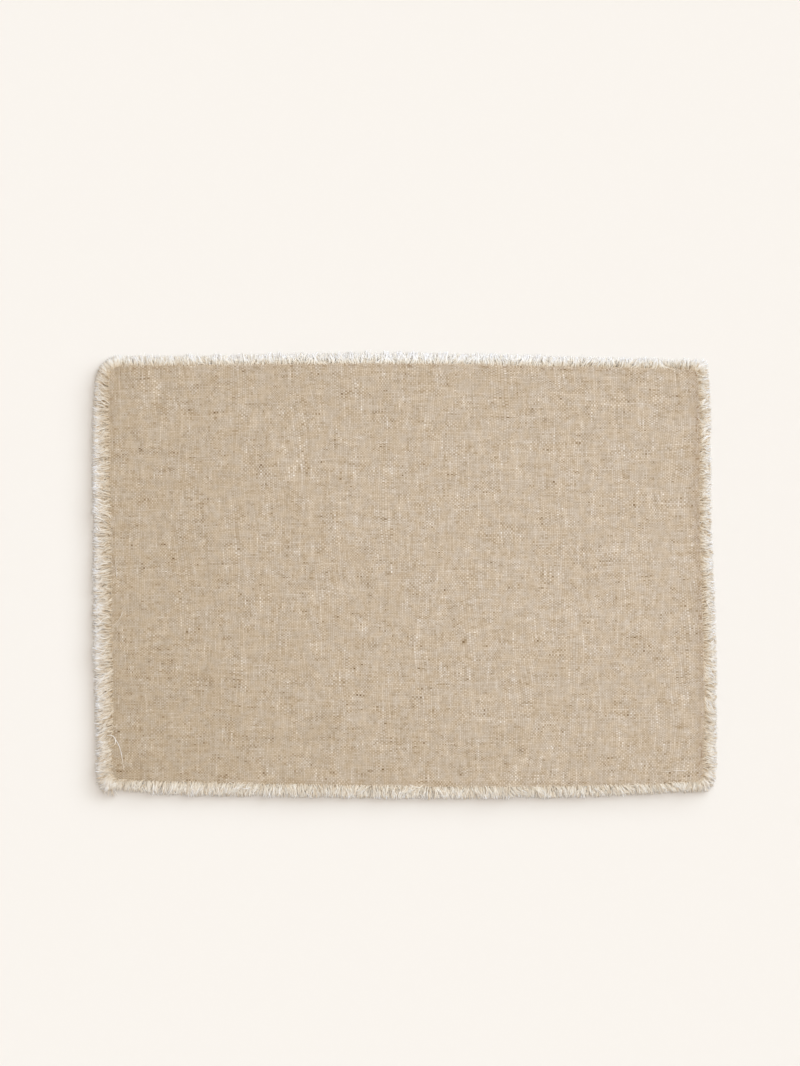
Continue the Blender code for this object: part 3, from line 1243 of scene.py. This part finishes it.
@dataclass(frozen=True)
class StrandForm:
    """A straight strand of one unit's length and radius, to be laid along a path many times."""

    name: str
    sides: int
    rings: int

    def mesh(self) -> bpy.types.Mesh:
        """Draws the strand out ring by ring from a circle, and closes both its ends.

        Returns:
            The mesh, with the way along and the turn round it as its map.
        """
        form = bmesh.new()
        map_layer = form.loops.layers.uv.new(WEAVE_MAP)
        bmesh.ops.create_circle(form, cap_ends=False, radius=1.0, segments=self.sides)
        ring = form.edges[:]
        for _ in range(self.rings - 1):
            drawn = bmesh.ops.extrude_edge_only(form, edges=ring)["geom"]
            ring = [item for item in drawn if isinstance(item, bmesh.types.BMEdge)]
            fresh = [item for item in drawn if isinstance(item, bmesh.types.BMVert)]
            bmesh.ops.translate(form, vec=(0, 0, 1 / (self.rings - 1)), verts=fresh)
        bmesh.ops.holes_fill(form, edges=[edge for edge in form.edges if edge.is_boundary], sides=0)
        bmesh.ops.recalc_face_normals(form, faces=form.faces[:])
        for face in form.faces:
            turns = [math.atan2(loop.vert.co.y, loop.vert.co.x) / TURN % 1 for loop in face.loops]
            split = len(turns) == 4 and max(turns) - min(turns) > 0.5
            for loop, turn in zip(face.loops, turns):
                turn = turn + 1 if split and turn < 0.5 else turn
                loop[map_layer].uv = (loop.vert.co.z, turn)
        data = bpy.data.meshes.new(self.name)
        form.to_mesh(data)
        form.free()
        return data


PLY = StrandForm("yarn ply", sides=5, rings=9)
LOW_PLY = StrandForm("low ply", sides=4, rings=5)
FIBRE = StrandForm("stray fibre", sides=3, rings=7)
THREAD = StrandForm("loose thread", sides=6, rings=25)


@dataclass
class Strands:
    """Many strands of one form, as arrays with a row for each strand.

    A strand starts on the true rectangle with a heading from outward towards onward, and curls, waves and
    hooks from it. A ply is turned and set off from its yarn's middle line. Angles are in radians.
    """

    form: StrandForm
    start: np.ndarray
    outward: np.ndarray
    onward: np.ndarray
    heading: np.ndarray
    curl: np.ndarray
    length: np.ndarray
    radius: np.ndarray
    root_height: np.ndarray
    lift: np.ndarray
    wave: np.ndarray | float = 0.0
    phase: np.ndarray | float = 0.0
    hook: np.ndarray | float = 0.0
    ply_turn: np.ndarray | float = 0.0
    ply_offset: np.ndarray | float = 0.0
    droop: float = 0.4

    WAVES = 1.3
    FINE = 6
    TWISTS = 0.8
    HOOKED = 8
    TAPER = 0.4
    ROOT_WIDTH = 0.8

    def centre_lines(self) -> tuple[np.ndarray, np.ndarray]:
        """Follows every strand from its root to its tip.

        Returns:
            The points of each strand, and the share of the way along at which they stand.
        """
        steps = (self.form.rings - 1) * self.FINE
        q = np.linspace(0, 1, steps + 1)
        middle = (q[1:] + q[:-1]) / 2
        wave, phase, hook = (np.reshape(item, (-1, 1)) for item in (self.wave, self.phase, self.hook))
        turn = (
            self.heading[:, None]
            + self.curl[:, None] * middle
            + hook * middle**self.HOOKED
            + wave * np.sin(TURN * (self.WAVES * middle + phase))
        )
        way = (
            np.cos(turn)[..., None] * self.outward[:, None]
            + np.sin(turn)[..., None] * self.onward[:, None]
        )
        run = np.cumsum(way * (self.length / steps)[:, None, None], axis=1)
        flat = self.start[:, None] + np.concatenate([np.zeros_like(run[:, :1]), run], axis=1)
        flat = flat[:, :: self.FINE]
        q = q[:: self.FINE]
        settled = q**2 * (3 - 2 * q)
        floor = self.radius[:, None] + self.lift[:, None] * (1 - self.droop * q**3)
        height = self.root_height[:, None] * (1 - settled) + floor * settled
        return np.concatenate([flat, height[..., None]], axis=2), q

    def points(self, form: np.ndarray) -> np.ndarray:
        """Lays the form along every strand.

        Args:
            form: The form's own vertices, as rows of x, y and z.

        Returns:
            The place of each of the form's vertices on each strand.
        """
        line, q = self.centre_lines()
        ahead = np.gradient(line, axis=1)
        ahead /= np.linalg.norm(ahead, axis=2, keepdims=True)
        side = np.cross(np.broadcast_to((0.0, 0.0, 1.0), ahead.shape), ahead)
        side /= np.linalg.norm(side, axis=2, keepdims=True)
        up = np.cross(ahead, side)
        angle = np.reshape(self.ply_turn, (-1, 1)) + TURN * self.TWISTS * q
        opened = np.reshape(self.ply_offset, (-1, 1)) * (1 + q**3)
        line = line + opened[..., None] * (np.cos(angle)[..., None] * side + np.sin(angle)[..., None] * up)
        width = 1 - self.TAPER * q**4
        width[0] = self.ROOT_WIDTH
        thick = self.radius[:, None] * width
        line[..., 2] = np.maximum(line[..., 2], thick)
        ring = np.rint(form[:, 2] * (len(q) - 1)).astype(int)
        return (
            line[:, ring]
            + (thick[:, ring] * form[:, 0])[..., None] * side[:, ring]
            + (thick[:, ring] * form[:, 1])[..., None] * up[:, ring]
        )


@dataclass
class Bundle:
    """Lots of strands, joined into one mesh.

    The map's whole numbers count the strands, so the turn round one stays just under 1. On the flat map
    each strand has a cell of its own, with a margin round it.
    """

    plan: MatPlan
    lots: list[Strands]
    full_turn: float = 0.998
    margin: float = 0.08

    def mesh(self, name: str) -> bpy.types.Mesh:
        """Makes the mesh.

        Args:
            name: Its name.

        Returns:
            The mesh, with the map that its finish reads.
        """
        points, corners, sizes, maps, flats = [], [], [], [], []
        columns = math.ceil(math.sqrt(sum(len(lot.start) for lot in self.lots)))
        passed, vertices = 0, 0
        for lot in self.lots:
            form = lot.form.mesh()
            corner = read(form.loops, "vertex_index")
            uv = read(form.uv_layers[0].data, "uv", 2)
            laid = lot.points(read(form.vertices, "co", 3))
            many = len(laid)
            sizes.append(np.tile(read(form.polygons, "loop_total"), many))
            bpy.data.meshes.remove(form)
            number = passed + np.arange(many)
            points.append(laid.reshape(-1, 3))
            corners.append((corner + vertices + laid.shape[1] * np.arange(many)[:, None]).ravel())
            length = uv[:, 0] * lot.length[:, None] / MM / MAP_MM
            turn = number[:, None] + uv[:, 1] * self.full_turn
            maps.append(np.stack([length, turn], axis=2).reshape(-1, 2))
            cell = np.stack([number % columns, number // columns], axis=1)[:, None]
            inner = self.margin + (1 - 2 * self.margin) * np.clip(uv, 0, 1)
            flats.append(((cell + inner) / columns).reshape(-1, 2))
            passed += many
            vertices += laid.shape[0] * laid.shape[1]
        place = np.concatenate(points)
        place[:, :2] = self.plan.on_origin(place[:, :2])
        size = np.concatenate(sizes)
        data = bpy.data.meshes.new(name)
        data.vertices.add(len(place))
        data.vertices.foreach_set("co", place.astype(np.float32).ravel())
        data.loops.add(int(size.sum()))
        data.loops.foreach_set("vertex_index", np.concatenate(corners).astype(np.int32))
        data.polygons.add(len(size))
        data.polygons.foreach_set("loop_start", np.r_[0, np.cumsum(size)[:-1]].astype(np.int32))
        add_maps(data, np.concatenate(maps), np.concatenate(flats))
        data.update()
        data.validate()
        data.shade_smooth()
        return data


# --------------------------------------------------------------------------- the fringe


@dataclass(frozen=True)
class LooseThread:
    """A thread that has come out of the cloth and lies on it, from its start on the true rectangle."""

    x_mm: float
    y_mm: float
    way_deg: float
    bend_deg: float
    hook_deg: float
    length_mm: float
    radius_mm: float


LOOSE_THREADS = (
    LooseThread(-227.1, -159.6, 88, 38, 0, 29.0, 0.24),
    LooseThread(-237.6, -142.0, 15, 185, 0, 17.0, 0.42),
    LooseThread(-236.4, -44.0, 40, 22, 30, 15.5, 0.20),
    LooseThread(-232.0, 13.0, 268, 8, 10, 17.0, 0.20),
    LooseThread(202.0, -158.2, 1, -3, 4, 22.0, 0.20),
)


@dataclass(frozen=True)
class Strew:
    """How the strands of one loose kind differ from each other.

    A pair is a range. The root's depth is a share of the yarns', the length one of the fringe's reach and
    the root's height one of the cloth's thickness. The angles are spreads, and the wave's is its most.
    """

    form: StrandForm
    depth: float
    heading_deg: float
    curl_deg: float
    wave_deg: float
    length: Pair
    thickness: float
    radius: Pair
    root_height: Pair
    lift_mm: Pair


@dataclass(frozen=True)
class Bits:
    """How the short curled bits differ from each other. Heights are shares of the cloth's thickness."""

    per_yarn: float = 0.22
    out_mm: Pair = (-1.6, 3.5)
    heading: Pair = (-1.5, 1.5)
    curl: float = math.radians(130)
    length_mm: Pair = (2.5, 5.5)
    radius: Pair = (0.6, 0.9)
    root_height: Pair = (1.0, 1.1)
    lift: Pair = (0.9, 1.1)


PLY_RADIUS = 0.28 * MM
LOW_PLIES = Strew(
    LOW_PLY, 0.5, heading_deg=15, curl_deg=30, wave_deg=18, length=(0.8, 1.04),
    thickness=PLY_RADIUS, radius=(1.0, 1.5), root_height=(0.3, 0.6), lift_mm=(0.0, 0.7),
)
STRAY_FIBRES = Strew(
    FIBRE, 0.4, heading_deg=20, curl_deg=50, wave_deg=28, length=(0.5, 1.08),
    thickness=0.10 * MM, radius=(0.7, 1.3), root_height=(0.4, 0.9), lift_mm=(0.3, 1.7),
)


@dataclass
class Fringe:
    """One frayed edge: the plies of every yarn that comes out of it, low ones under them, and stray bits.

    Neighbouring yarns lie in locks. Where a lock and its yarns both add to an angle, the pair gives the
    lock's spread and then each yarn's own.
    """

    plan: MatPlan
    cut: CutEdge
    seed: int
    root_depth: float = 1.3 * MM
    corner_crowd: float = 2.6
    jitter: float = 0.3
    fullness: float = 1.32
    lock_break: float = 0.30
    gather: float = 0.70
    lock_length: float = 0.05
    lean_spread: Pair = (math.radians(9), math.radians(6))
    sweep: float = math.radians(13)
    sweep_run: float = 13 * MM
    curl: float = math.radians(20)
    curl_spread: Pair = (0.9, 0.4)
    wave: float = math.radians(20)
    lock_wave: Pair = (0.3, 1.3)
    own_wave: float = 0.2
    own_phase: float = 0.08
    root_height: Pair = (0.6, 0.85)
    lift_mm: Pair = (0.55, 1.30)
    plies_per_yarn: int = 3
    ply_heading: float = math.radians(3)
    ply_curl: float = math.radians(8)
    ply_phase: float = 0.04
    ply_length: float = 0.05
    ply_radius: Pair = (0.8, 1.15)
    low_per_yarn: int = 6
    more_low: int = 2
    stubs_per_yarn: int = 2
    stub_length: float = 0.45
    farthest_start: float = 0.55
    sink: float = 0.6
    fibres_per_yarn: float = 1.6
    bits: Bits = Bits()
    thread_gap: float = 0.02 * MM
    thread_wave: float = math.radians(4)
    thread_phases: Pair = (0.1, 0.8)

    def build(self, finish: bpy.types.Material, threads: tuple[LooseThread, ...] = ()) -> bpy.types.Object:
        """Makes the fringe.

        Args:
            finish: Its material.
            threads: Loose threads that lie near it.

        Returns:
            The piece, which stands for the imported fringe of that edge.
        """
        draw = np.random.default_rng(self.seed)
        distance = self.cut.yarn_places(self.corner_crowd)
        distance = distance + draw.uniform(-self.jitter, self.jitter, len(distance)) * self.cut.pitch
        lock = np.cumsum(draw.random(len(distance)) < self.lock_break)
        knots = np.arange(-self.cut.half_run, self.cut.half_run + self.sweep_run, self.sweep_run)
        sweep = np.interp(distance, knots, self.sweep * draw.standard_normal(len(knots)))
        lots = [
            self.plies(draw, distance, lock, sweep),
            self.low_plies(draw, distance, sweep),
            self.fibres(draw, distance),
            self.short_bits(draw, distance),
        ]
        if threads:
            lots.append(self.loose(threads))
        data = Bundle(self.plan, lots).mesh(self.cut.edge.value + "_yarns")
        data.materials.append(finish)
        piece = add_object(data.name, data)
        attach(piece, BODY)
        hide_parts(self.cut.edge.value)
        return piece

    def lean(self, distance: np.ndarray) -> np.ndarray:
        """How far the yarns lean there, as an angle."""
        return np.radians(self.cut.read(distance, "lean_deg"))

    def reach(self, distance: np.ndarray) -> np.ndarray:
        """How long the fringe is there."""
        return MM * self.fullness * self.cut.read(distance, "fringe_mm") * self.cut.stretch(distance)

    def plies(
        self, draw: np.random.Generator, distance: np.ndarray, lock: np.ndarray, sweep: np.ndarray
    ) -> Strands:
        """The yarns themselves, a few plies each, which lean and curl together lock by lock.

        Args:
            draw: The source of chance.
            distance: Where along the edge each yarn comes out.
            lock: The number of each yarn's lock.
            sweep: How far the yarns there have been stroked to one side, as an angle.

        Returns:
            The plies.
        """
        many, locks = len(distance), lock[-1] + 1

        def mixed(spread: Pair) -> np.ndarray:
            """Chance for each yarn, part of it shared by its lock."""
            return spread[0] * draw.standard_normal(locks)[lock] + spread[1] * draw.standard_normal(many)

        ragged = FRAYS[self.cut.edge].ragged
        length = (self.reach(distance) + self.root_depth) * (1 - ragged * draw.random(many))
        length = length * (1 - self.lock_length * np.abs(draw.standard_normal(locks)[lock]))
        yarns = np.maximum(np.bincount(lock, minlength=locks), 1)
        middle = (np.bincount(lock, distance, locks) / yarns)[lock]
        gathered = self.gather * (distance - middle) / length
        heading = self.lean(distance) + sweep + mixed(self.lean_spread) - gathered
        curl = self.curl * mixed(self.curl_spread)
        wave = draw.uniform(*self.lock_wave, locks)[lock]
        wave = wave + draw.uniform(-self.own_wave, self.own_wave, many)
        phase = draw.random(locks)[lock] + self.own_phase * draw.standard_normal(many)
        root = self.plan.thickness * draw.uniform(*self.root_height, many)
        lift = MM * draw.uniform(*self.lift_mm, many)
        turn = draw.uniform(0, TURN, many)
        point, outward, onward = self.cut.place(distance, -self.root_depth)
        plies = self.plies_per_yarn

        def each(values: np.ndarray) -> np.ndarray:
            """A row for each of a yarn's plies."""
            return np.repeat(values, plies, axis=0)

        own_heading, own_curl, own_phase, shorter = draw.standard_normal((4, plies * many))
        return Strands(
            form=PLY,
            start=each(point),
            outward=each(outward),
            onward=each(onward),
            heading=each(heading) + self.ply_heading * own_heading,
            curl=each(curl) + self.ply_curl * own_curl,
            wave=self.wave * each(wave),
            phase=each(phase) + self.ply_phase * own_phase,
            length=each(length) * (1 - self.ply_length * np.abs(shorter)),
            radius=PLY_RADIUS * draw.uniform(*self.ply_radius, plies * many),
            root_height=each(root),
            lift=each(lift),
            ply_turn=each(turn) + np.tile(TURN * np.arange(plies) / plies, many),
            ply_offset=np.full(plies * many, PLY_RADIUS),
        )

    def strewn(
        self,
        draw: np.random.Generator,
        kind: Strew,
        at: np.ndarray,
        way: np.ndarray,
        begun: np.ndarray | float = 0.0,
        share: np.ndarray | float = 1.0,
    ) -> Strands:
        """Strews loose strands of one kind.

        Args:
            draw: The source of chance.
            kind: How they differ.
            at: Where along the edge each starts.
            way: Its heading but for chance.
            begun: The share of the fringe's reach at which it starts.
            share: How long it is for its kind.

        Returns:
            The strands.
        """
        many, reach = len(at), self.reach(at)
        point, outward, onward = self.cut.place(at, -kind.depth * self.root_depth)
        heading = np.cos(way)[:, None] * outward + np.sin(way)[:, None] * onward
        return Strands(
            form=kind.form,
            start=point + (begun * reach)[:, None] * heading,
            outward=outward,
            onward=onward,
            heading=way + math.radians(kind.heading_deg) * draw.standard_normal(many),
            curl=math.radians(kind.curl_deg) * draw.standard_normal(many),
            wave=math.radians(kind.wave_deg) * draw.random(many),
            phase=draw.random(many),
            length=reach * (1 - begun) * share * draw.uniform(*kind.length, many),
            radius=kind.thickness * draw.uniform(*kind.radius, many),
            root_height=self.plan.thickness
            * draw.uniform(*kind.root_height, many)
            * (1 - self.sink * begun),
            lift=MM * draw.uniform(*kind.lift_mm, many),
        )

    def low_plies(self, draw: np.random.Generator, distance: np.ndarray, sweep: np.ndarray) -> Strands:
        """Plies that lie low under the others and fill the gaps between them; some are only stubs.

        Args:
            draw: The source of chance.
            distance: Where along the edge each yarn comes out.
            sweep: How far the yarns there have been stroked to one side, as an angle.

        Returns:
            The low plies.
        """
        each = self.low_per_yarn + (self.more_low if self.cut.edge in (Edge.LEFT, Edge.RIGHT) else 0)
        many = len(distance) * each
        spread = draw.uniform(-0.5, 0.5, many) * self.cut.pitch
        at = np.clip(np.repeat(distance, each) + spread, *self.cut.ends)
        stub = np.arange(many) % each < self.stubs_per_yarn
        begun = np.where(stub, 0.0, self.farthest_start * draw.random(many) ** 2)
        share = np.where(stub, self.stub_length, 1.0) * (1 - FRAYS[self.cut.edge].ragged / 2)
        return self.strewn(draw, LOW_PLIES, at, self.lean(at) + np.repeat(sweep, each), begun, share)

    def fibres(self, draw: np.random.Generator, distance: np.ndarray) -> Strands:
        """Fine fibres that stick out of the yarns every way.

        Args:
            draw: The source of chance.
            distance: Where along the edge each yarn comes out.

        Returns:
            The fibres.
        """
        many = round(len(distance) * self.fibres_per_yarn)
        at = draw.choice(distance, many) + draw.uniform(-1, 1, many) * self.cut.pitch
        at = np.clip(at, *self.cut.ends)
        return self.strewn(draw, STRAY_FIBRES, at, self.lean(at))

    def short_bits(self, draw: np.random.Generator, distance: np.ndarray) -> Strands:
        """Short curled bits that lie on the yarns and over the cloth's rim.

        Args:
            draw: The source of chance.
            distance: Where along the edge each yarn comes out.

        Returns:
            The bits.
        """
        bits = self.bits
        many = round(len(distance) * bits.per_yarn)
        point, outward, onward = self.cut.place(draw.choice(distance, many), 0.0)
        return Strands(
            form=PLY,
            start=point + outward * (MM * draw.uniform(*bits.out_mm, many))[:, None],
            outward=outward,
            onward=onward,
            heading=draw.uniform(*bits.heading, many),
            curl=bits.curl * draw.standard_normal(many),
            length=MM * draw.uniform(*bits.length_mm, many),
            radius=PLY_RADIUS * draw.uniform(*bits.radius, many),
            root_height=self.plan.thickness * draw.uniform(*bits.root_height, many),
            lift=self.plan.thickness * draw.uniform(*bits.lift, many),
        )

    def loose(self, threads: tuple[LooseThread, ...]) -> Strands:
        """Lays the loose threads on the cloth.

        Args:
            threads: The threads.

        Returns:
            The threads as strands.
        """
        many = len(threads)

        def column(name: str) -> np.ndarray:
            """One column of the threads' table."""
            return np.array([getattr(thread, name) for thread in threads], float)

        top = self.plan.thickness + self.thread_gap
        return Strands(
            form=THREAD,
            start=MM * np.column_stack([column("x_mm"), column("y_mm")]),
            outward=np.tile((1.0, 0.0), (many, 1)),
            onward=np.tile((0.0, 1.0), (many, 1)),
            heading=np.radians(column("way_deg")),
            curl=np.radians(column("bend_deg")),
            wave=self.thread_wave,
            phase=np.linspace(*self.thread_phases, many),
            length=MM * column("length_mm"),
            radius=MM * column("radius_mm"),
            root_height=top + MM * column("radius_mm"),
            lift=np.full(many, top),
            hook=np.radians(column("hook_deg")),
            droop=0.0,
        )


# --------------------------------------------------------------------------- the studio


class Reach(Enum):
    """What a light falls on. Shadows fall from the whole mat either way."""

    ALL = "everything"
    FLOOR = "the floor alone"
    MAT = "the mat alone"


@dataclass(frozen=True)
class Window:
    """A broad, far light of one or more panes: its share of all the light, and where and how wide it is."""

    name: str
    share: float
    height_deg: float
    spread_deg: float
    colour: Triple
    reach: Reach = Reach.ALL
    panes: int = 1
    fan_deg: float = 0.0
    way_deg: float = 40.0

    def build(self, total: float, reached: dict[Reach, bpy.types.Collection]) -> None:
        """Hangs the light, its panes side by side.

        Args:
            total: The light on the floor from everywhere, as what a white floor would give back.
            reached: What a light falls on that doesn't reach everything.
        """
        height = math.radians(self.height_deg)
        light = bpy.data.lights.new(self.name, "SUN")
        light.angle = math.radians(self.spread_deg)
        light.energy = total * self.share / self.panes * math.pi / math.sin(height)
        light.color = self.colour
        for pane in range(self.panes):
            way = math.radians(self.way_deg + self.fan_deg * ((pane + 0.5) / self.panes - 0.5))
            lamp = add_object(self.name, light)
            lamp.rotation_euler = (math.pi / 2 - height, 0, way + math.pi / 2)
            if self.reach is not Reach.ALL:
                lamp.light_linking.receiver_collection = reached[self.reach]


COOL = (0.90, 1.0, 1.10)
WINDOWS = (
    Window("low window", 0.17, 4.5, 4.0, COOL, Reach.FLOOR, panes=6, fan_deg=66.0),
    Window("middle window", 0.165, 10.0, 9.0, COOL, Reach.FLOOR, panes=4, fan_deg=60.0),
    Window("high window", 0.15, 34.0, 38.0, (0.95, 1.0, 1.05)),
    Window("overhead fill", 0.093, 88.0, 120.0, (0.955, 1.0, 1.025), Reach.MAT),
)


@dataclass
class Studio:
    """The pale floor, the soft light and the camera straight above.

    Two low windows light only the floor, where the mat's long soft shadow falls; on the mat they would be
    glare along every yarn. An overhead fill gives some of that light back to the mat alone.
    """

    floor_size: float = 60.0
    floor_light: Triple = (250.4, 245.2, 238.6)
    total: float = 1.476
    windows: tuple[Window, ...] = WINDOWS
    aim_x: float = -4.0 * MM
    aim_y: float = 34.6 * MM
    lens: float = 85.0
    film: float = 36.0
    view_height: float = 852.8 * MM
    nearest: float = 0.01

    def build(self, pieces: list[bpy.types.Object]) -> None:
        """Makes the studio.

        Args:
            pieces: The mat's pieces.
        """
        reached = {}
        for reach, lit in ((Reach.FLOOR, [self.make_floor()]), (Reach.MAT, pieces)):
            reached[reach] = bpy.data.collections.new(reach.value)
            for piece in lit:
                reached[reach].objects.link(piece)
        self.make_light(reached)
        self.make_camera()
        bpy.context.scene.view_settings.view_transform = "Standard"

    def make_floor(self) -> bpy.types.Object:
        """Makes a plain floor just under the mat.

        Returns:
            The floor.
        """
        form = bmesh.new()
        bmesh.ops.create_grid(form, x_segments=1, y_segments=1, size=self.floor_size / 2)
        data = bpy.data.meshes.new("floor")
        form.to_mesh(data)
        form.free()
        floor = add_object("floor", data)
        material, _, shader = new_material("pale floor")
        colour = [part / self.total for part in linear(*self.floor_light)[:3]]
        shader.inputs["Base Color"].default_value = (*colour, 1.0)
        shader.inputs["Roughness"].default_value = 1.0
        shader.inputs["Specular IOR Level"].default_value = 0.0
        data.materials.append(material)
        return floor

    def make_light(self, reached: dict[Reach, bpy.types.Collection]) -> None:
        """Makes an even light from all round, broad soft ones from the back right, and the fill.

        Args:
            reached: What a light falls on that doesn't reach everything.
        """
        world = bpy.data.worlds.new("studio")
        world.use_nodes = True
        backdrop = world.node_tree.nodes["Background"]
        on_floor = [window for window in self.windows if window.reach is not Reach.MAT]
        rest = [1 - sum(window.share * window.colour[part] for window in on_floor) for part in range(3)]
        backdrop.inputs["Color"].default_value = (*rest, 1.0)
        backdrop.inputs["Strength"].default_value = self.total
        bpy.context.scene.world = world
        for window in self.windows:
            window.build(self.total, reached)

    def make_camera(self) -> None:
        """A long lens that looks straight down, with the back edge up in the picture."""
        lens = bpy.data.cameras.new("camera")
        lens.lens = self.lens
        lens.sensor_width = self.film
        lens.clip_start, lens.clip_end = self.nearest, 4 * self.floor_size
        camera = add_object("camera", lens)
        camera.location = (self.aim_x, self.aim_y, self.lens * self.view_height / self.film)
        bpy.context.scene.camera = camera


# --------------------------------------------------------------------------- all of it


def report(piece: bpy.types.Object) -> None:
    """Logs how many triangles a piece has."""
    piece.data.calc_loop_triangles()
    log.info("%s: %d triangles", piece.name, len(piece.data.loop_triangles))


def main() -> None:
    logging.basicConfig(level=logging.INFO, format="%(message)s")
    plan = MatPlan()
    melange = MelangeYarn().group()
    weave = PlainWeave().group()
    cloth_finish = ClothFinish(melange, weave, plan).material()
    yarn_finish = YarnFinish(melange).material()
    cloth = WovenCloth(plan).build(cloth_finish)
    report(cloth)
    fringes = []
    for number, cut in enumerate(plan.cut_edges()):
        threads = LOOSE_THREADS if cut.edge is Edge.LEFT else ()
        fringe = Fringe(plan, cut, seed=FIRST_SEED + number).build(yarn_finish, threads)
        report(fringe)
        fringes.append(fringe)
    Studio().build([cloth, *fringes])


if __name__ == "__main__":
    main()
